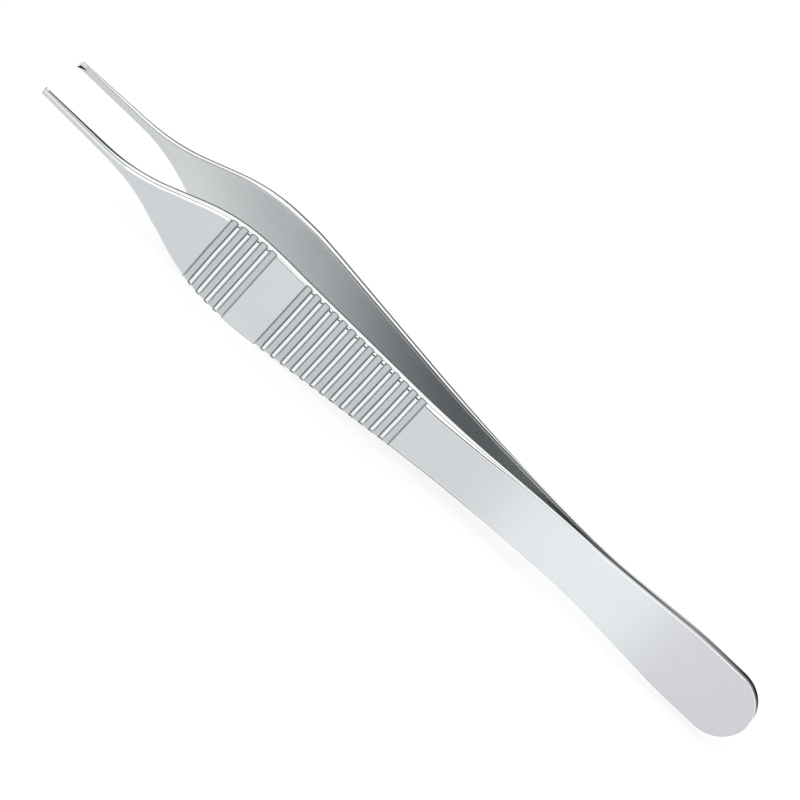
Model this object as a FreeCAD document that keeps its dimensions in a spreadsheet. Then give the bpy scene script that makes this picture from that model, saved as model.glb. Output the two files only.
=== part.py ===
import FreeCAD, Part
import math
import os
import Sketcher

# Tissue forceps with a fluted grip: two forged arms, welded face to face at the butt, which
# spring apart to a jaw with one tooth on the front arm and two teeth on the rear arm.
#
# X runs along the forceps, with the tips at -X and the butt at +X. Y is the spread of the arms,
# with the front arm at -Y. Z is the width of the arms, and the grip's lower edges lie at Z = 0.
# A station is a distance from the butt end. A half gap or half width is measured from the middle.
# All sizes are millimetres, apart from shares and numbers.

SIZES = [
    ("overall_length", 120.0, "butt end to tooth points"),
    # the width of an arm, seen from its face
    ("butt_width", 9.9, "rounded butt"),
    ("waist_width", 7.6, "narrowest part of the spring"),
    ("grip_width", 11.85, "widest part of the fluted grip"),
    ("neck_foot_width", 1.0, "where the neck runs into the tip"),
    ("tip_width", 0.8, "at the teeth"),
    ("butt_roundness", 0.99, "corner radius over half the butt's width"),
    ("butt_shoulder_radius", 60.0, "blend"),
    ("waist_start_radius", 100.0, "blend"),
    ("waist_end_radius", 200.0, "blend"),
    ("grip_start_radius", 20.0, "blend"),
    ("grip_shoulder_radius", 26.0, "shoulder of the grip"),
    ("neck_foot_radius", 24.5, "blend"),
    # the bow of an arm, seen from its edge
    ("knee_half_gap", 5.0, "inner face to the middle, at the knee"),
    ("grip_toe_half_gap", 5.15, "inner face to the middle, at the end of the flutes"),
    ("tip_half_gap", 5.7, "inner face to the middle, at the tips"),
    ("knee_bend_radius", 60.0, "bend"),
    ("grip_toe_bend_radius", 100.0, "bend"),
    ("tip_bend_radius", 60.0, "bend"),
    # the spring runs from the butt end to the heel, and these places are shares of it
    ("butt_shoulder_share", 0.215, "where the butt starts to narrow"),
    ("waist_start_share", 0.484, "where the narrowest part starts"),
    ("weld_share", 0.5645, "where the lines of the weld and of the flaring spring cross"),
    ("spring_bend_share", 0.1538, "half the length of the bend in which the arms part"),
    ("leaf_share", 0.7455, "where the ground leaf ends and the arm starts to thicken"),
    # the grip, the neck and the tips keep their length, and are measured from the tooth points
    ("waist_end_reach", 66.6, "where the arm starts to widen"),
    ("heel_reach", 64.2, "where the full thickness starts, behind the flutes"),
    ("heel_flute_reach", 62.3, "the long group's first edge"),
    ("knee_reach", 39.1, "where the arm bends level, between the groups of flutes"),
    ("grip_start_reach", 37.2, "where the full width is reached"),
    ("toe_flute_reach", 35.95, "the short group's first edge"),
    ("grip_end_reach", 29.3, "where the shoulder line meets the neck line"),
    ("grip_toe_reach", 28.7, "the end of the flutes"),
    ("neck_foot_reach", 15.75, "where the neck line ends"),
    ("tip_bend_reach", 14.1, "where the tips turn parallel"),
    # the thickness of an arm
    ("butt_thickness", 0.7, "at the butt end"),
    ("leaf_thickness", 0.88, "ground spring leaf"),
    ("heel_thickness", 1.75, "at the heel"),
    ("knee_thickness", 1.6, "at the knee"),
    ("grip_toe_thickness", 1.72, "at the end of the flutes"),
    ("tip_bend_thickness", 1.45, "at the tip bend"),
    ("tip_thickness", 0.78, "at the teeth"),
    ("outer_blend_radius", 20.0, "blends of the outer face at the leaf and the heel"),
    # the bevel round the outer face, which is broadest at the heel
    ("heel_bevel", 0.36, "at the heel"),
    ("knee_bevel", 0.12, "at the knee"),
    ("grip_toe_bevel", 0.2, "at the end of the flutes"),
    ("tip_bend_bevel", 0.28, "at the tip bend"),
    ("tip_bevel", 0.2, "at the teeth"),
    ("leaf_bevel", 0.1, "along the leaf and round the butt"),
    ("tip_bevel_limit", 0.46, "the most of the tip's width that one bevel of the forging takes"),
    # the milled flutes across the outer face
    ("flute_width", 1.0, "across the mouth of a flute"),
    ("flute_depth", 0.45, "below the outer face"),
    ("flute_draft", 0.05, "how much each wall leans out from the floor to the mouth"),
    ("flute_radius", 0.22, "bottom corners of a flute"),
    ("flute_pitch", 1.55, "from flute to flute"),
    ("heel_flutes", 14, "number in the long group"),
    ("toe_flutes", 5, "number in the short group"),
    # the teeth
    ("tooth_height", 0.45, "above the inner face"),
    ("tooth_length", 0.75, "root of a tooth along the arm"),
    ("tooth_lean", 0.15, "how far the points stand out past the arm"),
    ("single_tooth_width", 0.36, "the front arm's tooth"),
    ("notch_width", 0.46, "mouth of the notch between the rear arm's teeth"),
    ("notch_length", 1.4, "along the arm"),
    ("notch_depth", 0.3, "below the inner face"),
]

# What follows from the sizes above. All but the last three are stations.
DERIVED = [
    ("waist_end", "overall_length - waist_end_reach"),
    ("heel", "overall_length - heel_reach"),
    ("heel_flute_start", "overall_length - heel_flute_reach"),
    ("knee", "overall_length - knee_reach"),
    ("grip_start", "overall_length - grip_start_reach"),
    ("toe_flute_start", "overall_length - toe_flute_reach"),
    ("grip_end", "overall_length - grip_end_reach"),
    ("grip_toe", "overall_length - grip_toe_reach"),
    ("neck_foot", "overall_length - neck_foot_reach"),
    ("tip_bend", "overall_length - tip_bend_reach"),
    ("arm_end", "overall_length - tooth_lean"),
    ("butt_shoulder", "heel * butt_shoulder_share"),
    ("waist_start", "heel * waist_start_share"),
    ("weld_length", "heel * weld_share"),
    ("leaf_end", "heel * leaf_share"),
    ("spring_slope", "knee_half_gap / (knee - weld_length)"),
    ("spring_bend_radius", "heel * spring_bend_share / tan(atan(spring_slope) / 2)"),
    ("forged_bevel", "min(heel_bevel; tip_bevel_limit * tip_width)"),
]

SPARE = 2.0   # how far a cutting outline stands clear of the metal that it cuts

# How far a face's normal turns towards an axis: 1 is straight along it, and 0 square to it.
OUTER_FACE_TURN = 0.7
SIDE_WALL_TURN = 0.3
TIP_END_TURN = 0.9


def fill_sheet(doc):
    """The driving dimensions, one to a row: name, value, note. What follows from them comes last."""
    sheet = doc.addObject("Spreadsheet::Sheet", "Sizes")
    rows = SIZES + [(alias, f"={formula}", formula) for alias, formula in DERIVED]
    for row, (alias, value, note) in enumerate(rows, start=1):
        sheet.set(f"A{row}", alias.replace("_", " "))
        sheet.set(f"B{row}", str(value))
        sheet.set(f"C{row}", note)
        sheet.setAlias(f"B{row}", alias)
    doc.recompute()
    return sheet


def number(sheet, expression):
    """What an expression in the sheet's names comes to, as a plain number."""
    value = sheet.evalExpression(expression)
    return float(getattr(value, "Value", value))


def along(station):
    """The X of a station."""
    return f"(Sizes.overall_length / 2 - ({station}))"


def origin_plane(body, role):
    for feature in body.Origin.OriginFeatures:
        if feature.Role == role:
            return feature
    raise ValueError(role)


def add_sketch(body, name, role):
    sketch = body.newObject("Sketcher::SketchObject", name)
    sketch.AttachmentSupport = [(origin_plane(body, role), "")]
    sketch.MapMode = "FlatFace"
    return sketch


def add_outline(sheet, sketch, corners):
    """A closed outline of straight runs. A corner is (x, y, radius): x and y are expressions,
    and the radius is None where the corner is sharp. Each corner stays in the sketch as a
    point that carries the dimensions, also where an arc cuts it off."""
    spots = [FreeCAD.Vector(number(sheet, x), number(sheet, y), 0) for x, y, _ in corners]
    radii = [number(sheet, radius) if radius else 0.0 for _, _, radius in corners]
    count = len(corners)
    arrive, leave = [], []
    for i in range(count):
        before = (spots[i - 1] - spots[i]).normalize()
        after = (spots[(i + 1) % count] - spots[i]).normalize()
        reach = radii[i] / math.tan(before.getAngle(after) / 2)
        arrive.append(spots[i] + before * reach)
        leave.append(spots[i] + after * reach)

    runs = []
    for i in range(count):
        line = Part.LineSegment(leave[i], arrive[(i + 1) % count])
        runs.append(sketch.addGeometry(line, False))
    for i, (x, y, radius) in enumerate(corners):
        point = sketch.addGeometry(Part.Point(spots[i]), True)
        last, following = runs[i - 1], runs[i]
        if radius:
            towards = ((arrive[i] + leave[i]) * 0.5 - spots[i]).normalize()
            centre = spots[i] + towards * math.hypot(radii[i], (arrive[i] - spots[i]).Length)
            ends = [math.atan2(end.y - centre.y, end.x - centre.x) for end in (arrive[i], leave[i])]
            clockwise = (ends[1] - ends[0]) % (2 * math.pi) > math.pi
            first, second = (2, 1) if clockwise else (1, 2)
            if clockwise:
                ends.reverse()
            circle = Part.Circle(centre, FreeCAD.Vector(0, 0, 1), radii[i])
            arc = sketch.addGeometry(Part.ArcOfCircle(circle, *ends), False)
            sketch.addConstraint(Sketcher.Constraint("Tangent", last, 2, arc, first))
            sketch.addConstraint(Sketcher.Constraint("Tangent", arc, second, following, 1))
            sketch.addConstraint(Sketcher.Constraint("PointOnObject", point, 1, last))
            sketch.addConstraint(Sketcher.Constraint("PointOnObject", point, 1, following))
            size = sketch.addConstraint(Sketcher.Constraint("Radius", arc, radii[i]))
            sketch.setExpression(f"Constraints[{size}]", radius)
        else:
            sketch.addConstraint(Sketcher.Constraint("Coincident", last, 2, point, 1))
            sketch.addConstraint(Sketcher.Constraint("Coincident", following, 1, point, 1))
        for kind, expression, value in (("DistanceX", x, spots[i].x), ("DistanceY", y, spots[i].y)):
            size = sketch.addConstraint(Sketcher.Constraint(kind, -1, 1, point, 1, value))
            sketch.setExpression(f"Constraints[{size}]", expression)


def cut_through(body, name, sketch):
    """Cuts the sketch's outline right through, both ways from its plane."""
    cut = body.newObject("PartDesign::Pocket", name)
    cut.Profile = sketch
    cut.SideType = "Symmetric"
    cut.Type = "ThroughAll"
    return cut


def half_gap_at(station):
    """Half gap of the straight, flaring part of the inner face, between the weld and the knee."""
    return f"Sizes.spring_slope * ({station} - Sizes.weld_length)"


def outer_face(extra):
    """Corners of an arm's outer face from the tip back to the butt, as station, distance from
    the middle plane and radius. The forging is thicker by extra, less the bevel left there."""
    corners = [
        ("Sizes.arm_end", "Sizes.tip_half_gap", "tip", None),
        ("Sizes.tip_bend", "Sizes.tip_half_gap", "tip_bend", "Sizes.tip_bend_radius"),
        ("Sizes.grip_toe", "Sizes.grip_toe_half_gap", "grip_toe", "Sizes.grip_toe_bend_radius"),
        ("Sizes.knee", "Sizes.knee_half_gap", "knee", "Sizes.knee_bend_radius"),
        ("Sizes.heel", half_gap_at("Sizes.heel"), "heel", "Sizes.outer_blend_radius"),
        ("Sizes.leaf_end", half_gap_at("Sizes.leaf_end"), "leaf", "Sizes.outer_blend_radius"),
        ("Sizes.weld_length", "0", "leaf", "Sizes.spring_bend_radius"),
        ("0", "0", "butt", None),
    ]
    outline = []
    for station, half_gap, place, radius in corners:
        bevel = "Sizes.leaf_bevel" if place == "butt" else f"Sizes.{place}_bevel"
        more = f" + {extra} - {bevel}" if extra else ""
        outline.append((station, f"{half_gap} + Sizes.{place}_thickness{more}", radius))
    return outline


def forge_strip(sheet, body, side):
    """The bowed strip that the arm is made from, still wider and a little thicker than it."""
    inner = [
        ("0", "0", None),
        ("Sizes.weld_length", "0", "Sizes.spring_bend_radius"),
        ("Sizes.knee", "Sizes.knee_half_gap", "Sizes.knee_bend_radius"),
        ("Sizes.grip_toe", "Sizes.grip_toe_half_gap", "Sizes.grip_toe_bend_radius"),
        ("Sizes.tip_bend", "Sizes.tip_half_gap", "Sizes.tip_bend_radius"),
        ("Sizes.arm_end", "Sizes.tip_half_gap", None),
    ]
    sketch = add_sketch(body, "edge_view", "XY_Plane")
    corners = [(along(station), f"{side} * ({distance})", radius)
               for station, distance, radius in inner + outer_face("Sizes.forged_bevel")]
    add_outline(sheet, sketch, corners)
    strip = body.newObject("PartDesign::Pad", "strip")
    strip.Profile = sketch
    strip.SideType = "Symmetric"
    strip.setExpression("Length", f"Sizes.grip_width + {SPARE}")


def trim_to_width(sheet, body):
    """Cuts the strip to the outline of the arm: round butt, waist, grip, neck and tip."""
    half = [
        ("0", "Sizes.butt_width / 2", "Sizes.butt_roundness * Sizes.butt_width / 2"),
        ("Sizes.butt_shoulder", "Sizes.butt_width / 2", "Sizes.butt_shoulder_radius"),
        ("Sizes.waist_start", "Sizes.waist_width / 2", "Sizes.waist_start_radius"),
        ("Sizes.waist_end", "Sizes.waist_width / 2", "Sizes.waist_end_radius"),
        ("Sizes.grip_start", "Sizes.grip_width / 2", "Sizes.grip_start_radius"),
        ("Sizes.grip_end", "Sizes.grip_width / 2", "Sizes.grip_shoulder_radius"),
        ("Sizes.neck_foot", "Sizes.neck_foot_width / 2", "Sizes.neck_foot_radius"),
        (f"Sizes.overall_length + {SPARE / 2}", "Sizes.tip_width / 2", None),
    ]
    upper = [(along(station), width, radius) for station, width, radius in half]
    lower = [(x, f"-1 * {width}", radius) for x, width, radius in reversed(upper)]
    sketch = add_sketch(body, "face_view", "XZ_Plane")
    add_outline(sheet, sketch, upper + lower)
    far_x = f"(Sizes.overall_length / 2 + {SPARE})"
    far_z = f"(Sizes.grip_width / 2 + {SPARE})"
    frame = [(f"{i} * {far_x}", f"{j} * {far_z}", None)
             for i, j in ((-1, -1), (1, -1), (1, 1), (-1, 1))]
    add_outline(sheet, sketch, frame)
    return cut_through(body, "trim", sketch)


def outer_edges(shape, side):
    """Names of the edges where the outer face meets the arm's side walls. The end face at the
    tip is left sharp."""
    names = []
    for index, edge in enumerate(shape.Edges, start=1):
        outer, wall = False, False
        for face in shape.ancestorsOfType(edge, Part.Face):
            middle = edge.valueAt((edge.FirstParameter + edge.LastParameter) / 2)
            normal = face.normalAt(*face.Surface.parameter(middle))
            outer = outer or normal.y * side > OUTER_FACE_TURN
            wall = wall or (abs(normal.y) < SIDE_WALL_TURN and normal.x > -TIP_END_TURN)
        if outer and wall:
            names.append(f"Edge{index}")
    return names


def bevel_outer_face(doc, body, trimmed, side):
    doc.recompute()
    bevel = body.newObject("PartDesign::Chamfer", "forged_bevel")
    bevel.Base = (trimmed, outer_edges(trimmed.Shape, side))
    bevel.setExpression("Size", "Sizes.forged_bevel")


def grind_outer_face(sheet, body, side):
    """Takes the outer face down to its final thickness, which narrows the bevel as it goes."""
    corners = [(along(station), distance, radius)
               for station, distance, radius in outer_face(extra=None)]
    tip_x = f"(-1 * Sizes.overall_length / 2 - {SPARE})"
    butt_x = f"(Sizes.overall_length / 2 + {SPARE})"
    far_y = f"(Sizes.tip_half_gap + Sizes.heel_thickness + {SPARE})"
    corners += [
        (butt_x, corners[-1][1], None),
        (butt_x, far_y, None),
        (tip_x, far_y, None),
        (tip_x, corners[0][1], None),
    ]
    sketch = add_sketch(body, "face_grinding", "XY_Plane")
    add_outline(sheet, sketch, [(x, f"{side} * ({y})", radius) for x, y, radius in corners])
    cut_through(body, "ground_face", sketch)


def mill_flutes(sheet, body, side, group, face_start, face_end):
    """One group of flutes. The first lies nearest the butt, and the rest follow it along the
    outer face, which runs straight from face_start to face_end."""
    start_station, start_distance = face_start
    end_station, end_distance = face_end
    slope = f"(({end_distance} - ({start_distance})) / ({end_station} - {start_station}))"
    first = f"Sizes.{group}_flute_start"
    sketch = add_sketch(body, f"{group}_flute_section", "XY_Plane")
    distance = f"({start_distance} + {slope} * ({first} - {start_station}))"
    sketch.setExpression("AttachmentOffset.Base.x", along(first))
    sketch.setExpression("AttachmentOffset.Base.y", f"{side} * {distance}")
    sketch.setExpression("AttachmentOffset.Rotation.Angle", f"{-side} * atan({slope})")
    floor = f"{-side} * Sizes.flute_depth"
    far_edge = "-1 * Sizes.flute_width"
    corners = [
        ("0", f"{side * SPARE}", None),
        ("0", "0", None),
        ("-1 * Sizes.flute_draft", floor, "Sizes.flute_radius"),
        (f"{far_edge} + Sizes.flute_draft", floor, "Sizes.flute_radius"),
        (far_edge, "0", None),
        (far_edge, f"{side * SPARE}", None),
    ]
    add_outline(sheet, sketch, corners)
    flute = cut_through(body, f"{group}_flute", sketch)
    pattern = body.newObject("PartDesign::LinearPattern", f"{group}_flutes")
    pattern.Originals = [flute]
    pattern.Direction = (sketch, ["H_Axis"])
    pattern.Reversed = True
    pattern.setExpression("Occurrences", f"Sizes.{group}_flutes")
    pattern.setExpression("Length", f"Sizes.flute_pitch * (Sizes.{group}_flutes - 1)")
    body.Tip = pattern


def add_tooth(sheet, body, side, width):
    """A tooth of triangular section across the inner face, right at the end of the arm."""
    root = "(Sizes.tip_half_gap + Sizes.tip_thickness / 2)"
    corners = [
        (along("Sizes.arm_end - Sizes.tooth_length"), "Sizes.tip_half_gap"),
        (along("Sizes.overall_length"), "Sizes.tip_half_gap - Sizes.tooth_height"),
        (along("Sizes.arm_end"), "Sizes.tip_half_gap"),
        (along("Sizes.arm_end"), root),
        (along("Sizes.arm_end - Sizes.tooth_length"), root),
    ]
    sketch = add_sketch(body, "tooth_section", "XY_Plane")
    add_outline(sheet, sketch, [(x, f"{side} * ({y})", None) for x, y in corners])
    tooth = body.newObject("PartDesign::Pad", "tooth")
    tooth.Profile = sketch
    tooth.SideType = "Symmetric"
    tooth.setExpression("Length", width)


def split_tooth(sheet, body):
    """A wedge-shaped notch that makes two teeth of the rear arm's one, and takes the front
    arm's tooth when the jaw closes."""
    sketch = add_sketch(body, "notch_outline", "XZ_Plane")
    sketch.setExpression("AttachmentOffset.Base.z",
                         f"-1 * (Sizes.tip_half_gap - Sizes.tooth_height - {SPARE})")
    mouth = along(f"Sizes.overall_length + {SPARE}")
    flare = f"(Sizes.notch_width / 2 * (1 + {SPARE} / Sizes.notch_length))"
    corners = [
        (along("Sizes.overall_length - Sizes.notch_length"), "0", None),
        (mouth, flare, None),
        (mouth, f"-1 * {flare}", None),
    ]
    add_outline(sheet, sketch, corners)
    notch = body.newObject("PartDesign::Pocket", "notch")
    notch.Profile = sketch
    notch.Type = "Length"
    notch.setExpression("Length", f"{SPARE} + Sizes.tooth_height + Sizes.notch_depth")


def make_arm(doc, sheet, label, side, teeth):
    body = doc.addObject("PartDesign::Body", label)
    body.Label = label
    forge_strip(sheet, body, side)
    trimmed = trim_to_width(sheet, body)
    bevel_outer_face(doc, body, trimmed, side)
    grind_outer_face(sheet, body, side)
    toe_bend, knee, heel = [corner[:2] for corner in outer_face(extra=None)[2:5]]
    mill_flutes(sheet, body, side, "heel", heel, knee)
    mill_flutes(sheet, body, side, "toe", knee, toe_bend)
    if teeth == 2:
        add_tooth(sheet, body, side, "Sizes.tip_width")
        split_tooth(sheet, body)
    else:
        add_tooth(sheet, body, side, "Sizes.single_tooth_width")
    body.setExpression("Placement.Base.z", "Sizes.grip_width / 2")
    return body


def main():
    doc = FreeCAD.newDocument("tissue_forceps")
    sheet = fill_sheet(doc)
    arms = [
        make_arm(doc, sheet, "front_arm", -1, teeth=1),
        make_arm(doc, sheet, "rear_arm", 1, teeth=2),
    ]
    doc.recompute()
    for item in doc.Objects:
        if "Invalid" in item.State or "Error" in item.State:
            raise RuntimeError(f"{item.Name} failed: {item.State}")
    for arm in arms:
        if arm.Shape.isNull() or not arm.Shape.isValid() or len(arm.Shape.Solids) != 1:
            raise RuntimeError(f"{arm.Label} is not one sound solid")
    os.makedirs("parts", exist_ok=True)
    for arm in arms:
        arm.Shape.exportStep(f"parts/{arm.Label}.step")
        box = arm.Shape.BoundBox
        print(f"{arm.Label}: {arm.Shape.Volume:.1f} mm3, x {box.XMin:.2f} {box.XMax:.2f},"
              f" y {box.YMin:.2f} {box.YMax:.2f}, z {box.ZMin:.2f} {box.ZMax:.2f}")


main()
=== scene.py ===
import bmesh
import bpy
import math
from mathutils import Matrix, Vector


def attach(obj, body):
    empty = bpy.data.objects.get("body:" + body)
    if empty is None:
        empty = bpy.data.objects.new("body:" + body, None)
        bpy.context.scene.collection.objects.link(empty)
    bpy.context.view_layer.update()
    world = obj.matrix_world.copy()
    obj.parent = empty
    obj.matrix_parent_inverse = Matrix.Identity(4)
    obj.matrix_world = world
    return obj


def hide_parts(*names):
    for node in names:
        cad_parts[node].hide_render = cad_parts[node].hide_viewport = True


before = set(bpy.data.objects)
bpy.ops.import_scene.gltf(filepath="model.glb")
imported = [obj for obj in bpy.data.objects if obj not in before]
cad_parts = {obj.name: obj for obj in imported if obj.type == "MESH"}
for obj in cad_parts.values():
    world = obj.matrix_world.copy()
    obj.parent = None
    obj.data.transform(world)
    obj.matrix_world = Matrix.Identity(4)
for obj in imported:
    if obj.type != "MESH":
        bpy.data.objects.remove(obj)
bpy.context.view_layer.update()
print("frame loaded:", sorted(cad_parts))

mm = 0.001          # all sizes below are in millimetres

# What both arms share. A station is a distance from the butt end, and a gap is measured from
# the middle plane between the arms.
arm = {
    "buttEnd": 60.0,            # x of station 0
    "end": 119.85,              # station of the cut end of the tip
    "midHeight": 5.925,         # z of the middle of the width
    "buttRadius": 4.90,
    "outline": [                # station, half width, blend radius
        (-5.0, 4.95, 0), (12.0, 4.95, 60), (27.0, 3.80, 100), (53.4, 3.80, 200),
        (82.8, 5.925, 20), (90.7, 5.925, 26), (104.25, 0.50, 24.5), (121.0, 0.40, 0)],
    "innerFace": [              # station, gap, bend radius
        (0, 0, 0), (31.5, 0, 170), (80.9, 5.00, 60), (91.3, 5.15, 100),
        (105.9, 5.70, 60), (119.85, 5.70, 0)],
    "outerFace": [
        (0, 0.70, 0), (31.5, 0.88, 170), (41.6, 1.902, 20), (55.8, 4.2095, 20),
        (80.9, 6.60, 60), (91.3, 6.87, 100), (105.9, 7.15, 60), (119.85, 6.48, 0)],
    "bevel": [                  # station, leg of the bevel round the outer face
        (0, 0.10), (41.6, 0.10), (55.8, 0.36), (80.9, 0.12), (91.3, 0.20),
        (105.9, 0.28), (119.85, 0.20)],
    "leastBevel": 0.07,         # where a flute runs out through it
    "innerEdge": [              # station, radius on the long edges of the inner face
        (0, 0.02), (12, 0.02), (24, 0.06), (36, 0.10), (119.85, 0.10)],
    "edgeRoom": 0.6,            # share of the width beside a tooth that it may take
    "guard": 1.3,               # flat point that many radii from the edge
    "edgeBreak": 0.07,          # softening of the bevel's two edges
    "breakShare": 0.4,          # the most of a small bevel that the softening takes
    "rimWidth": 0.09,           # polished rim of the outer face beside the bevel, with a painted highlight
    "tipFlat": 0.04,            # half of the flat left between the bevels of the tip
    "stripShares": (0.7, 0.3),  # the most of the wall that the two strips beside it take
    "leastStrip": 0.01,
    "ringStep": 1.1,            # spacing of the mesh's rings where nothing happens
    "sharpAngle": 40,           # degrees, above which an edge is left sharp
}

# stations where the finish of the edges changes
changes = {
    "tintedLine": 9.0,          # the painted dark rim covers the inner edge up to here
    "butt": 30.0,
    "rearGreyShade": 88.0,
    "neck": 91.4,
    "frontGreyShade": 97.0,
    "satinBevel": 105.0,
    "brightTip": 119.37,        # the dark inner line of the front arm stops here
}

# What differs between the arms: the side of the middle plane, -1 being the front, strips of
# the side wall painted dark as shade, as (station, width), the rounding of the tip, one
# tooth or a pair, and flutes that rise to the rim at their ends.
arms = {
    "front_arm": {"side": -1, "tipRound": 0.20, "isPair": False, "runOut": False,
                  "innerStrip": [(0, 0.04), (9, 0.04), (20, 0.28), (88, 0.30), (95, 0.33),
                                 (101, 0.30), (104, 0.25), (108, 0.50), (112, 0.70),
                                 (119, 0.60)],
                  "outerStrip": [(0, 0.0), (1, 0.0)]},
    "rear_arm": {"side": 1, "tipRound": 0.08, "isPair": True, "runOut": True,
                 "innerStrip": [(0, 0.1), (16, 0.1), (22, 0.3), (36, 0.35), (60, 0.42),
                                (76, 0.30), (86, 0.08), (90, 0.1), (95, 0.40), (101, 0.25),
                                (106, 0.1), (119, 0.1)],
                 "outerStrip": [(0, 0.02), (36, 0.02), (43, 0.10), (50, 0.38), (60, 0.45),
                                (87, 0.40), (92, 0.25), (103, 0.30), (112, 0.12),
                                (119, 0.12)]},
}

flutes = {
    "width": 1.0, "depth": 0.45, "pitch": 1.55, "draft": 0.05,
    "cornerRadius": 0.22,
    "lipRadius": 0.11,          # softened edges of the crests
    "margin": 0.3,              # plain face kept free of other rings beside a group
    "lead": 0.2,                # the inner face's rings start this far before a group
    "groups": [                 # first station, number, ends of the straight face they cross
        (57.7, 14, (55.8, 4.2095), (80.9, 6.60)),
        (84.05, 5, (80.9, 6.60), (91.3, 6.87))],
}

teeth = {
    "height": 0.45, "root": 0.75, "lean": 0.15,
    "singleWidth": 0.36,
    "notchWidth": 0.46, "notchLength": 1.4, "notchDepth": 0.30,
    "notchBack": 0.02,          # run of the steep wall where the notch begins
    "flank": 0.01,              # run of a tooth's steep sides
    "plainFlat": 0.1,           # half width of the middle strip where there is no notch
}
notchStart = arm["end"] + teeth["lean"] - teeth["notchLength"]
nudge = 0.01        # puts a ring clearly past the station where something starts


def roundCorners(corners, steps=40):
    # a polyline with each corner turned into an arc of its radius
    points = [Vector(corners[0][:2])]
    for before, here, after in zip(corners, corners[1:], corners[2:]):
        spot = Vector(here[:2])
        back = (Vector(before[:2]) - spot).normalized()
        ahead = (Vector(after[:2]) - spot).normalized()
        half = back.angle(ahead) / 2
        reach = here[2] / math.tan(half)
        centre = spot + (back + ahead).normalized() * (here[2] / math.sin(half))
        start, stop = spot + back * reach - centre, spot + ahead * reach - centre
        turn = start.angle(stop)
        for i in range(steps + 1):
            a, b = math.sin(turn * (1 - i / steps)), math.sin(turn * i / steps)
            points.append(centre + (start * a + stop * b) / math.sin(turn))
    points.append(Vector(corners[-1][:2]))
    return points


def valueAt(line, station):
    # the value at a station on a line of (station, value) points
    for (x0, y0), (x1, y1) in zip(line, line[1:]):
        if station <= x1:
            return y0 + (y1 - y0) * (station - x0) / (x1 - x0) if x1 > x0 else y0
    return line[-1][1]


outline = roundCorners(arm["outline"])
innerLine = roundCorners(arm["innerFace"])
outerLine = roundCorners(arm["outerFace"])


def rimAt(station, tipRound):
    # half width, and the outline's outward direction as (station, z)
    radius = arm["buttRadius"]
    if station < radius:
        cosine = 1 - station / radius
        sine = math.sqrt(max(0.0, 1 - cosine * cosine))
        return arm["outline"][0][1] - radius + radius * sine, (-cosine, sine)
    width = valueAt(outline, station)
    past = (station - arm["end"] + tipRound) / tipRound
    if past > 0:
        sine = math.sqrt(max(0.0, 1 - past * past))
        return width - tipRound + tipRound * sine, (0.0, 1.0)
    step = 0.05
    ahead, behind = valueAt(outline, station + step), valueAt(outline, station - step)
    slope = (ahead - behind) / (2 * step)
    size = math.hypot(slope, 1)
    return width, (-slope / size, 1 / size)


def fluteSection():
    # points across one flute, as (run along the face, depth, is it a lip)
    lip, corner, draft = flutes["lipRadius"], flutes["cornerRadius"], flutes["draft"]
    wide, deep = flutes["width"], flutes["depth"]
    half = []
    for degrees in (0, 28, 56, 84):
        a = math.radians(degrees)
        half.append((-lip + lip * math.sin(a), lip - lip * math.cos(a), True))
    for degrees in (0, 22.5, 45, 67.5, 90):
        a = math.radians(degrees)
        half.append((draft + corner - corner * math.cos(a),
                     deep - corner + corner * math.sin(a), degrees == 0))
    return half + [(wide - run, depth, isLip) for run, depth, isLip in reversed(half)]


# what a ring starts: plain face, a crest's top, a lip towards the tips, one towards the butt,
# a flute's floor, or the outermost lip of a group
plain, crestTop, tipLip, buttLip, fluteFloor, groupEdge = range(6)


def fluteRings(first, count, lineStart, lineEnd):
    # the rings of one group of flutes, and the station where the plain face goes on
    rings = []
    slope = math.atan2(lineEnd[1] - lineStart[1], lineEnd[0] - lineStart[0])
    startGap = lineStart[1] + math.tan(slope) * (first - lineStart[0])
    section = fluteSection()
    lips = sum(isLip for _, _, isLip in section) // 2
    for k in range(count):
        for i, (run, depth, isLip) in enumerate(section):
            along = run + k * flutes["pitch"]
            station = first + along * math.cos(slope) + depth * math.sin(slope)
            gap = startGap + along * math.sin(slope) - depth * math.cos(slope)
            even = -flutes["lead"] + k * flutes["pitch"] + flutes["pitch"] * i / len(section)
            kind = fluteFloor
            if i < lips and isLip:
                kind = tipLip if k else groupEdge
            elif i == len(section) - 1:
                kind = crestTop if k < count - 1 else plain
            elif isLip:
                kind = buttLip if k < count - 1 else groupEdge
            rings.append((first + even * math.cos(slope), (station, gap), depth, kind))
    length = flutes["pitch"] * (count - 1) + flutes["width"]
    return rings, first + length * math.cos(slope) + flutes["margin"]


def makeRings(tipRound):
    # each ring: station on the inner face, station and gap on the outer face, depth, kind
    radius = arm["buttRadius"]
    stations = [radius * (1 - math.cos(math.radians(5 * i))) for i in range(19)]
    rings = [(station, None, 0.0, plain) for station in stations]
    last = radius
    for group in flutes["groups"] + [None]:
        stop = group[0] - flutes["margin"] if group else notchStart
        steps = max(2, round((stop - last) / arm["ringStep"]))
        rings += [(last + (stop - last) * i / steps, None, 0.0, plain)
                  for i in range(1, steps + 1)]
        if group:
            fluted, last = fluteRings(*group)
            rings += fluted
    tipArc = arm["end"] - tipRound
    stations = [notchStart + teeth["notchBack"], arm["end"] - teeth["root"],
                changes["brightTip"], tipArc]
    stations += [tipArc + tipRound * math.sin(math.radians(15 * i)) for i in range(1, 7)]
    return rings + [(station, None, 0.0, plain) for station in stations]


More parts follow.
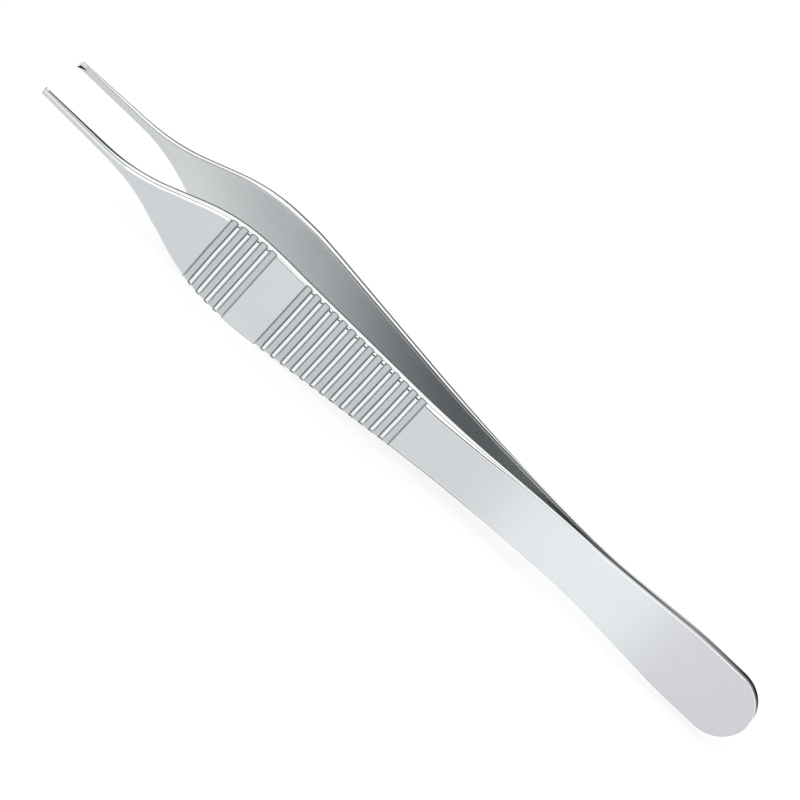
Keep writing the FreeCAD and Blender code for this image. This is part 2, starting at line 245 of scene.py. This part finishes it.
def innerPoints(station, face, isPair):
    # the middle of the inner face as (station, gap, z): plain, or with the tooth, or with the
    # pair of teeth and the wedge-shaped notch between them
    share = min(1.0, max(0.0, (station - arm["end"]) / teeth["root"] + 1))
    point = (station + share ** 4 * teeth["lean"], face - share * teeth["height"])
    if not isPair:
        flat = teeth["singleWidth"] / 2
        beside = (station, face)
        return [(*point, 0.0), (*point, flat), (*beside, flat + teeth["flank"])], beside
    along = (station - arm["end"] - teeth["lean"]) / teeth["notchLength"] + 1
    inNotch = along * teeth["notchLength"] > teeth["notchBack"] / 2
    floor = (station, face + teeth["notchDepth"]) if inNotch else point
    flat = teeth["notchWidth"] / 2 * along if inNotch else teeth["plainFlat"]
    return [(*floor, 0.0), (*floor, flat), (*point, flat + teeth["flank"])], point


def cornerPoints(bevel):
    # the bevelled corner from the side wall to the face, as (inset, drop), softly rounded
    ease = min(arm["edgeBreak"], arm["breakShare"] * bevel)
    diagonal = ease / math.sqrt(2)
    points = []
    for a, c, b in (((0, bevel + ease), (0, bevel), (diagonal, bevel - diagonal)),
                    ((bevel - diagonal, diagonal), (bevel, 0), (bevel + ease, 0))):
        for t in (0, 0.33, 0.67, 1):
            points.append(tuple((1 - t) ** 2 * p + 2 * t * (1 - t) * q + t * t * r
                                for p, q, r in zip(a, c, b)))
    return points


def ringLevels(ring, look):
    # the points of one ring's upper half, from the middle of the inner face to that of the
    # outer, as (station, gap, z)
    inner, outer, depth, _ = ring
    station, gap = outer or (inner, valueAt(outerLine, inner))
    innerWidth, out = rimAt(inner, look["tipRound"])
    gapIn = valueAt(innerLine, inner)
    level, (rootStation, rootGap) = innerPoints(inner, gapIn, look["isPair"])
    edge = valueAt(arm["innerEdge"], inner)
    if inner > changes["neck"]:
        edge = min(edge, arm["edgeRoom"] * (innerWidth - level[-1][2]))
    # one more flat point, so that the rounding doesn't bend the shading of the face
    level.append((rootStation, rootGap, innerWidth - arm["guard"] * edge))
    for degrees in (0, 30, 60, 90):
        a = math.radians(degrees)
        inset, rise = edge * (1 - math.sin(a)), edge * (1 - math.cos(a))
        level.append((rootStation - inset * out[0], rootGap + rise,
                      innerWidth - inset * out[1]))
    width, out = rimAt(station, look["tipRound"])
    bevel = valueAt(arm["bevel"], station)
    rise = 0.0
    if look["runOut"] and depth:
        rise = max(0.0, depth - bevel + arm["leastBevel"])
    gap += rise
    corner = cornerPoints(max(bevel - depth + rise, arm["leastBevel"]))
    corner.append((corner[-1][0] + arm["rimWidth"] + rise, rise))
    if station > changes["neck"]:      # the rounded tip is narrower than its bevels
        squeeze = min(1.0, (width - arm["tipFlat"]) / corner[-1][0])
        corner = [(inset * squeeze, drop) for inset, drop in corner]
    # the two strips of painted shade leave a stretch of bright wall between them
    wall = gap - corner[0][1] - gapIn - edge
    most = [share * wall for share in arm["stripShares"]]
    innerStrip = min(valueAt(look["innerStrip"], inner), most[0])
    outerStrip = min(max(valueAt(look["outerStrip"], inner), arm["leastStrip"]), most[1])
    level.append((inner, gapIn + edge + innerStrip, innerWidth))
    level.append((station, gap - corner[0][1] - outerStrip, width))
    for inset, drop in corner:
        level.append((station - inset * out[0], gap - drop, width - inset * out[1]))
    middle = level[-1][0] if station < arm["buttRadius"] else station
    level.append((middle, gap - rise, 0.0))
    return level


# material slots of an arm's mesh, in the order of the finishes below; the satin face and the
# polished edges carry painted highlights, the ground inner face, the flute floors and the dark
# and grey edge lines carry painted shade, and the butt's rim edges a painted dark reflection
(satinFacePaintedHighlight, polishedPaintedHighlightEdge, groundInnerPaintedShade, paintedShadeEdge, paintedGreyShadeEdge, darkRimEdge, blastedFloorPaintedShade,
 fadingShadeEdge, paintedShadeLip) = range(9)


def stripSlots(station, kind, look, half):
    # the finish of each strip between two levels: 4 on the inner face, 3 round its edge, 3 of
    # the wall, 3 round its outer edge, the bevel, 3 round the face's edge, the rim, the face
    inFlutes = kind in (tipLip, fluteFloor, buttLip, groupEdge)
    atButt, atNeck = station < changes["butt"], station > changes["neck"]
    isRear = look["isPair"]
    toothStart = arm["end"] - teeth["root"] - nudge
    if isRear:
        pastGreyShade = station > changes["rearGreyShade"]
        inner = [groundInnerPaintedShade] * 7 + [paintedGreyShadeEdge if pastGreyShade else paintedShadeEdge]
    else:
        inner = [groundInnerPaintedShade] * 4 + [paintedShadeEdge] * 4
    if station < changes["tintedLine"]:
        inner[4:] = [darkRimEdge] * 4
    elif station > changes["brightTip"] - nudge and not isRear:
        inner = [paintedShadeEdge] * 3 + [polishedPaintedHighlightEdge] * 5
    elif station > toothStart and isRear:
        inner = [paintedShadeEdge] * 2 + [groundInnerPaintedShade] * 2 + [polishedPaintedHighlightEdge] * 4
    elif station > notchStart and isRear:
        inner[:2] = [paintedShadeEdge] * 2
    shadeOrShine = paintedShadeEdge if isRear else polishedPaintedHighlightEdge
    outer = darkRimEdge if atButt else shadeOrShine
    slots = inner + [darkRimEdge if atButt else polishedPaintedHighlightEdge, outer]
    if inFlutes:
        slots += [paintedShadeEdge if isRear else paintedShadeLip] * 7
    elif atNeck:
        pastGreyShade = station > changes["frontGreyShade"]
        slots += [paintedGreyShadeEdge if pastGreyShade and not isRear else shadeOrShine] * 3
        slots += [satinFacePaintedHighlight if station > changes["satinBevel"] else polishedPaintedHighlightEdge, polishedPaintedHighlightEdge]
        slots += [satinFacePaintedHighlight if pastGreyShade else polishedPaintedHighlightEdge] * 2
    elif atButt:
        slots += [darkRimEdge if isRear else polishedPaintedHighlightEdge] * 3
        # painted light: the upper half of the butt's bevel takes the white painted highlight,
        # the lower half the grey painted shade
        slots += [polishedPaintedHighlightEdge if half > 0 else paintedGreyShadeEdge] * 2 + [satinFacePaintedHighlight] * 2
    else:
        slots += [shadeOrShine] * 3 + [polishedPaintedHighlightEdge] + [fadingShadeEdge] * 3
    top = {crestTop: polishedPaintedHighlightEdge, tipLip: paintedShadeLip, groupEdge: paintedGreyShadeEdge,
           fluteFloor: blastedFloorPaintedShade}.get(kind, satinFacePaintedHighlight)
    rim = polishedPaintedHighlightEdge
    if inFlutes or atNeck or atButt:
        rim = top
    elif kind == crestTop:
        rim = paintedShadeEdge
    return slots + [rim, top]


def addObject(name, data):
    thing = bpy.data.objects.new(name, data)
    bpy.context.scene.collection.objects.link(thing)
    return thing


def makeArm(name, look):
    side = look["side"]
    rings = makeRings(look["tipRound"])
    levels = [ringLevels(ring, look) for ring in rings]
    count = len(levels[0])
    vertices, faces, slots, index = [], [], [], {}

    def vertex(ring, j, half):
        # the points on the middle plane are shared by both halves
        key = (ring, j, 1 if j in (0, count - 1) else half)
        if key not in index:
            station, gap, z = levels[ring][j]
            index[key] = len(vertices)
            vertices.append(((arm["buttEnd"] - station) * mm, side * gap * mm,
                             (arm["midHeight"] + half * z) * mm))
        return index[key]

    def addFace(corners, slot, turn):
        faces.append(corners if turn else corners[::-1])
        slots.append(slot)

    for ring in range(len(rings) - 1):
        for half in (1, -1):
            for j, slot in enumerate(stripSlots(rings[ring][0], rings[ring][3], look, half)):
                quad = [vertex(ring, j, half), vertex(ring, j + 1, half),
                        vertex(ring + 1, j + 1, half), vertex(ring + 1, j, half)]
                addFace(quad, slot, side * half > 0)
    # the narrow flat at the very end of the butt, and the end of the tip
    for j, slot in enumerate(stripSlots(0, plain, look, 1)):
        corners = [vertex(0, j, 1), vertex(0, j + 1, 1), vertex(0, j + 1, -1), vertex(0, j, -1)]
        addFace(list(dict.fromkeys(corners)), slot, side < 0)
    for half in (1, -1):
        addFace([vertex(len(rings) - 1, j, half) for j in range(count)], polishedPaintedHighlightEdge,
                side * half > 0)

    mesh = bpy.data.meshes.new(name)
    mesh.from_pydata(vertices, [], faces)
    shell = bmesh.new()
    shell.from_mesh(mesh)
    bmesh.ops.recalc_face_normals(shell, faces=shell.faces)
    for edge in shell.edges:
        edge.smooth = edge.calc_face_angle(0) < math.radians(arm["sharpAngle"])
    shell.to_mesh(mesh)
    shell.free()
    for polygon in mesh.polygons:
        polygon.use_smooth = True
    for material in materials:
        mesh.materials.append(material)
    mesh.polygons.foreach_set("material_index", slots)
    piece = addObject(name, mesh)
    flatFaces = piece.modifiers.new("flatFaces", "WEIGHTED_NORMAL")    # keeps the flats flat
    flatFaces.keep_sharp = True
    flatFaces.weight = 50
    flatFaces.thresh = 0.0
    return piece


def linear(code):
    # sRGB hex to linear RGBA
    parts = [int(code[i:i + 2], 16) / 255 for i in (1, 3, 5)]
    return [p / 12.92 if p <= 0.04045 else ((p + 0.055) / 1.055) ** 2.4 for p in parts] + [1.0]


def addNode(tree, kind, settings=None, links=None, stops=None):
    # one node with its socket values, its own settings, its incoming links and a ramp's stops
    node = tree.nodes.new(kind)
    for key, value in (settings or {}).items():
        if isinstance(key, int) or key in node.inputs:
            node.inputs[key].default_value = value
        else:
            setattr(node, key, value)
    for key, source in (links or {}).items():
        tree.links.new(source, node.inputs[key])
    if stops:
        elements = node.color_ramp.elements
        elements.remove(elements[1])
        elements[0].position, elements[0].color = stops[0]
        for position, colour in stops[1:]:
            elements.new(position).color = colour
    return node


def newMaterial(name):
    material = bpy.data.materials.new(name)
    material.use_nodes = True
    material.node_tree.nodes.clear()
    return material, material.node_tree


# What all the finishes share. The grain of a real satin belt is about 0.05 mm wide, which is
# too fine to show here, so the grain is drawn 0.25 mm wide and 25 times as long.
steel = {
    "grain": 0.25, "lengthwise": 0.04, "grainDetail": 3.0, "grainDepth": 0.004,
    "grainRange": (0.3, 0.7),   # where the noise's values mostly lie
    "cloud": 9.0, "cloudDetail": 2.0,       # slow change of the roughness
    "spread": 0.03, "edgeShare": 1.0,
    "toneStart": -60, "toneEnd": 60,        # x of the ends of the arms
}

# tones: x and colour. contrast: how much the grain darkens. relief: how deep it looks.
finishes = {
    # drawn on a fine belt: an even pale grey, with a painted highlight where the spring's bow
    # meets the light
    "satinStainlessPaintedHighlight": {
        "tones": [(-60, "#d1d5d7"), (-30, "#d3d7d9"), (-20, "#d9dddf"), (-2, "#d6d9da"),
                  (10, "#d3d6d8"), (16, "#d7dadc"), (21, "#e4e9ec"), (28, "#e9edf1"),
                  (34, "#e9edf0"), (39, "#e7ebed"), (43, "#dee1e4"), (47, "#d5d6da"),
                  (60, "#d2d3d7")],
        "roughness": 0.32, "contrast": 0.03, "relief": 0.2},
    # buffed: nearly a mirror, and its near-white tone is a painted highlight, so the edges and
    # crests show as white lines
    "polishedPaintedHighlightStainless": {
        "tones": [(0, "#f6f7f8")], "roughness": 0.16, "spread": 0.02, "grain": 0.3,
        "contrast": 0.04, "relief": 0.1},
    # flat ground: rougher than satin, and painted shade darkens it towards the narrow end of
    # the gap
    "groundPaintedShadeStainless": {
        "tones": [(-60, "#d2d5d6"), (-46, "#d4d7d8"), (-40, "#dee1e2"), (-34, "#dfe2e3"),
                  (-26, "#e3e6e7"), (-22, "#dbdedf"), (-14, "#cdd0d1"), (-5, "#b6b9bb"),
                  (3, "#abaeb0"), (9, "#aeb1b3"), (15, "#c4c7c8"), (20, "#d4d7d8"),
                  (25, "#a8abad"), (30, "#8c8f91")],
        "roughness": 0.45, "contrast": 0.04, "relief": 0.3},
    # painted shade: a dark grey line along the edges, darkest at the tips
    "paintedShadeLineStainless": {
        "tones": [(-60, "#3a3d3f"), (-47, "#3a3d3f"), (-40, "#626567"), (60, "#626567")],
        "roughness": 0.40, "contrast": 0.1, "relief": 0.3},
    # painted shade: a mid grey line
    "paintedGreyShadeStainless": {
        "tones": [(0, "#b4b7b9")], "roughness": 0.35, "contrast": 0.05, "relief": 0.3},
    # painted dark reflection: the rim of the butt turns nearly black, and fades along the arms;
    # elsewhere its near-white tone is a painted highlight
    "darkRimPaintedStainless": {
        "tones": [(0, "#f0f2f3")], "roughness": 0.22, "contrast": 0.05, "relief": 0.2,
        "tint": "#33363a", "tintAlong": (35, 55), "tintAcross": (-0.55, 0.05),
        "tintLeast": 0.5, "edgeShare": 0.45},
    # blasted with glass beads of about 0.1 mm, drawn 0.16 mm: a matt floor with no direction, a
    # little darker than the face as painted shade
    "beadBlastedShadedStainless": {
        "tones": [(0, "#cfd3d5")], "roughness": 0.42, "grain": 0.16, "lengthwise": 1.0,
        "contrast": 0.09, "relief": 0.3},
    # painted shade: the bevel's inner line, dark beside the grip and lost in the satin face at
    # the butt
    "fadingPaintedShadeStainless": {
        "tones": [(-60, "#45484a"), (10, "#45484a"), (18, "#606365"), (26, "#a4a7a9"),
                  (33, "#d0d3d5"), (60, "#d2d5d7")],
        "roughness": 0.40, "contrast": 0.05, "relief": 0.3},
    # painted shade: the thin grey line on the tip side of each crest
    "paintedShadeLipStainless": {
        "tones": [(0, "#8f9395")], "roughness": 0.38, "contrast": 0.05, "relief": 0.3},
}


def darkRimPaint(tree, place, tone, look):
    # the painted dark reflection on the rim, strongest at the butt's end and on the rear arm's
    # wall
    alongFrom, alongTo = look["tintAlong"]
    acrossFrom, acrossTo = look["tintAcross"]
    along = addNode(tree, "ShaderNodeMapRange",
                    {"From Min": alongFrom * mm, "From Max": alongTo * mm},
                    {"Value": place.outputs["X"]})
    across = addNode(tree, "ShaderNodeMapRange",
                     {"From Min": acrossFrom * mm, "From Max": acrossTo * mm,
                      "To Min": look["tintLeast"]},
                     {"Value": place.outputs["Y"]})
    share = addNode(tree, "ShaderNodeMath", {"operation": "MULTIPLY"},
                    {0: along.outputs["Result"], 1: across.outputs["Result"]})
    return addNode(tree, "ShaderNodeMix", {"data_type": "RGBA", 7: linear(look["tint"])},
                   {0: share.outputs[0], 6: tone})


def stainless(name, look):
    material, tree = newMaterial(name)
    start, length = look["toneStart"], look["toneEnd"] - look["toneStart"]
    spot = addNode(tree, "ShaderNodeTexCoord")
    place = addNode(tree, "ShaderNodeSeparateXYZ", links={"Vector": spot.outputs["Object"]})
    along = addNode(tree, "ShaderNodeMapRange",
                    {"From Min": start * mm, "From Max": look["toneEnd"] * mm},
                    {"Value": place.outputs["X"]})
    ramp = addNode(tree, "ShaderNodeValToRGB", links={"Fac": along.outputs["Result"]},
                   stops=[((x - start) / length, linear(code)) for x, code in look["tones"]])
    ramp.color_ramp.interpolation = "B_SPLINE"      # no visible step between two tones
    stretch = addNode(tree, "ShaderNodeMapping", {"Scale": (look["lengthwise"], 1, 1)},
                      {"Vector": spot.outputs["Object"]})
    grain = addNode(tree, "ShaderNodeTexNoise",
                    {"Scale": 1 / (look["grain"] * mm), "Detail": look["grainDetail"]},
                    {"Vector": stretch.outputs["Vector"]})
    cloud = addNode(tree, "ShaderNodeTexNoise",
                    {"Scale": 1 / (look["cloud"] * mm), "Detail": look["cloudDetail"]},
                    {"Vector": spot.outputs["Object"]})
    rough = addNode(tree, "ShaderNodeMapRange",
                    {"To Min": look["roughness"] - look["spread"],
                     "To Max": look["roughness"] + look["spread"]},
                    {"Value": cloud.outputs["Fac"]})
    low, high = look["grainRange"]
    shade = addNode(tree, "ShaderNodeMapRange",
                    {"From Min": low, "From Max": high, "To Min": 1 - look["contrast"]},
                    {"Value": grain.outputs["Fac"]})
    grained = addNode(tree, "ShaderNodeMix",
                      {"data_type": "RGBA", "blend_type": "MULTIPLY", 0: 1.0},
                      {6: ramp.outputs["Color"], 7: shade.outputs["Result"]})
    if "tint" in look:
        grained = darkRimPaint(tree, place, grained.outputs[2], look)
    bump = addNode(tree, "ShaderNodeBump",
                   {"Strength": look["relief"], "Distance": look["grainDepth"] * mm},
                   {"Height": grain.outputs["Fac"]})
    shader = addNode(tree, "ShaderNodeBsdfPrincipled",
                     {"Metallic": 1.0, "Specular Tint": [look["edgeShare"]] * 3 + [1.0]},
                     {"Base Color": grained.outputs[2], "Roughness": rough.outputs["Result"],
                      "Normal": bump.outputs["Normal"]})
    addNode(tree, "ShaderNodeOutputMaterial", links={"Surface": shader.outputs["BSDF"]})
    return material


materials = [stainless(name, {**steel, **look}) for name, look in finishes.items()]
print("finishes made:", [material.name for material in materials])

for node, look in arms.items():
    piece = makeArm(node + "Finished", look)
    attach(piece, "root")
    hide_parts(node)
print("arms made")

# white paper: matt, and seen as plain white with a faint shadow, while it lights the object
# as the pale grey that it is
paper = {
    "size": 4000.0, "drop": 0.02,
    "colour": "#e7e7e7",        # as the object's light sees it
    "seenColour": "#959595",    # the part of the seen floor that takes the shadow
    "seenGlow": 0.79,           # and the part that doesn't
}

floorMesh = bpy.data.meshes.new("floor")
reach = paper["size"] / 2 * mm
floorMesh.from_pydata([(-reach, -reach, 0), (reach, -reach, 0), (reach, reach, 0),
                       (-reach, reach, 0)], [], [(0, 1, 2, 3)])
floor = addObject("floor", floorMesh)
floor.location.z = -paper["drop"] * mm
whitePaper, tree = newMaterial("whitePaper")
ray = addNode(tree, "ShaderNodeLightPath")
direct = addNode(tree, "ShaderNodeMath", {"operation": "MAXIMUM"},
                 {0: ray.outputs["Is Camera Ray"], 1: ray.outputs["Is Glossy Ray"]})
isSeen = addNode(tree, "ShaderNodeMath", {"operation": "MAXIMUM"},
                 {0: direct.outputs[0], 1: ray.outputs["Is Transmission Ray"]})
matt = addNode(tree, "ShaderNodeBsdfDiffuse", {"Color": linear(paper["colour"])})
faint = addNode(tree, "ShaderNodeBsdfDiffuse", {"Color": linear(paper["seenColour"])})
glow = addNode(tree, "ShaderNodeEmission", {"Strength": paper["seenGlow"]})
seen = addNode(tree, "ShaderNodeAddShader", links={0: faint.outputs[0], 1: glow.outputs[0]})
choice = addNode(tree, "ShaderNodeMixShader",
                 links={0: isSeen.outputs[0], 1: matt.outputs[0], 2: seen.outputs[0]})
addNode(tree, "ShaderNodeOutputMaterial", links={"Surface": choice.outputs[0]})
floorMesh.materials.append(whitePaper)

# the room: white where it is looked at, an even soft light, and for the steel's reflections a
# pale window strip behind, a darker ceiling and a pale front
room = {
    "background": "#ffffff",
    "light": "#e1e1e1",
    # share of the half turn from the horizon behind, over the ceiling, to the one in front,
    # and level of light
    "reflected": [(0.0, 0.2), (0.05, 0.2), (0.09, 1.05), (0.21, 1.05), (0.27, 0.15),
                  (0.50, 0.15), (0.58, 1.05), (1.0, 1.0)],
}

world = bpy.data.worlds.new("studio")
world.use_nodes = True
tree = world.node_tree
tree.nodes.clear()
ray = addNode(tree, "ShaderNodeLightPath")
where = addNode(tree, "ShaderNodeTexCoord")
parts = addNode(tree, "ShaderNodeSeparateXYZ", links={"Vector": where.outputs["Generated"]})
angle = addNode(tree, "ShaderNodeMath", {"operation": "ARCTAN2"},
                {0: parts.outputs["Z"], 1: parts.outputs["Y"]})
share = addNode(tree, "ShaderNodeMath", {"operation": "DIVIDE", 1: math.pi},
                {0: angle.outputs[0]})
reflected = addNode(tree, "ShaderNodeValToRGB", links={"Fac": share.outputs[0]},
                    stops=[(place, [level] * 3 + [1.0]) for place, level in room["reflected"]])
isSeen = addNode(tree, "ShaderNodeMath", {"operation": "MAXIMUM"},
                 {0: ray.outputs["Is Camera Ray"], 1: ray.outputs["Is Transmission Ray"]})
plainRoom = addNode(tree, "ShaderNodeMix",
                    {"data_type": "RGBA", 6: linear(room["light"]),
                     7: linear(room["background"])}, {0: isSeen.outputs[0]})
wholeRoom = addNode(tree, "ShaderNodeMix", {"data_type": "RGBA"},
                    {0: ray.outputs["Is Glossy Ray"], 6: plainRoom.outputs[2],
                     7: reflected.outputs["Color"]})
background = addNode(tree, "ShaderNodeBackground", {"Strength": 1.0},
                     {"Color": wholeRoom.outputs[2]})
addNode(tree, "ShaderNodeOutputWorld", links={"Surface": background.outputs[0]})
bpy.context.scene.world = world

# one softbox in front and above
softbox = {"place": (-150, -450, 900), "size": (900, 500), "watts": 0.6}

lampData = bpy.data.lights.new("softbox", "AREA")
lampData.shape = "RECTANGLE"
lampData.size, lampData.size_y = (side * mm for side in softbox["size"])
lampData.energy = softbox["watts"]
lamp = addObject("softbox", lampData)
lamp.location = Vector(softbox["place"]) * mm
lamp.rotation_euler = (-lamp.location).to_track_quat("-Z", "Y").to_euler()
print("studio made")

camera = {
    "azimuth": 0.373, "elevation": 28.0, "roll": 43.278,     # degrees
    "distance": 571.75, "lens": 202.5, "sensor": 36.0,
    "picture": 800, "moveRight": 4.51, "moveDown": 0.86,     # pixels
    "clip": (10, 20000),
}

azimuth, elevation, roll = (math.radians(camera[key])
                            for key in ("azimuth", "elevation", "roll"))
right = Vector((math.cos(azimuth), math.sin(azimuth), 0))
ahead = Vector((-math.sin(azimuth) * math.cos(elevation),
                math.cos(azimuth) * math.cos(elevation), -math.sin(elevation)))
up = right.cross(ahead)
rolledRight = right * math.cos(roll) + up * math.sin(roll)
rolledUp = up * math.cos(roll) - right * math.sin(roll)
cameraData = bpy.data.cameras.new("camera")
cameraData.lens = camera["lens"]
cameraData.sensor_width = camera["sensor"]
cameraData.shift_x = -camera["moveRight"] / camera["picture"]
cameraData.shift_y = camera["moveDown"] / camera["picture"]
cameraData.clip_start, cameraData.clip_end = (depth * mm for depth in camera["clip"])
cameraObject = addObject("camera", cameraData)
turned = Matrix((rolledRight, rolledUp, -ahead)).transposed().to_4x4()
turned.translation = (Vector((0, 0, arm["midHeight"])) - ahead * camera["distance"]) * mm
cameraObject.matrix_world = turned
bpy.context.scene.camera = cameraObject
bpy.context.scene.view_settings.view_transform = "Standard"
print("camera made")
